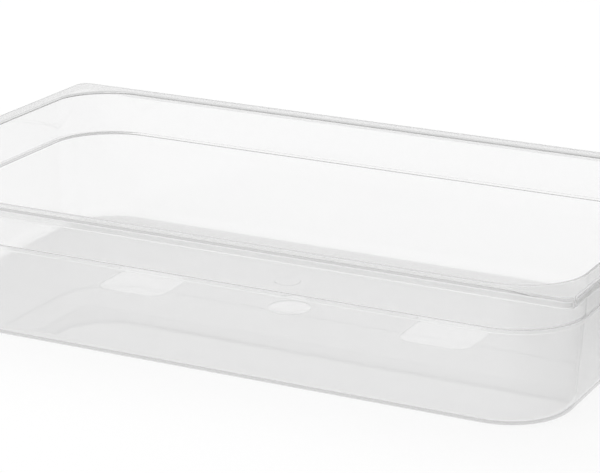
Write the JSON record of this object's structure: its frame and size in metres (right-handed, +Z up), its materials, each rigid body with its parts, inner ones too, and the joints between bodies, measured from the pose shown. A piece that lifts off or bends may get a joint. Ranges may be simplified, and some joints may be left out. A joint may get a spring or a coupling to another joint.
{
  "type": "gastronorm food pan",
  "caption": "Empty translucent food pan with a flat turned-down rim, rounded opening, stacking ledge and drafted walls, for storing and serving food.",
  "frame": {"origin": "centre of the foot, in the plane that the pan stands on", "axes": "+X along the length of the rim, +Y across it, +Z up out of the mouth"},
  "size_m": [0.53, 0.325, 0.098],
  "materials": {
    "natural_polypropylene": "translucent natural plastic with a faint milky haze, satin inside and out, glossier on the rim's rounded edges"
  },
  "bodies": {
    "root": {"pan": "natural_polypropylene"}
  },
  "joints": []
}
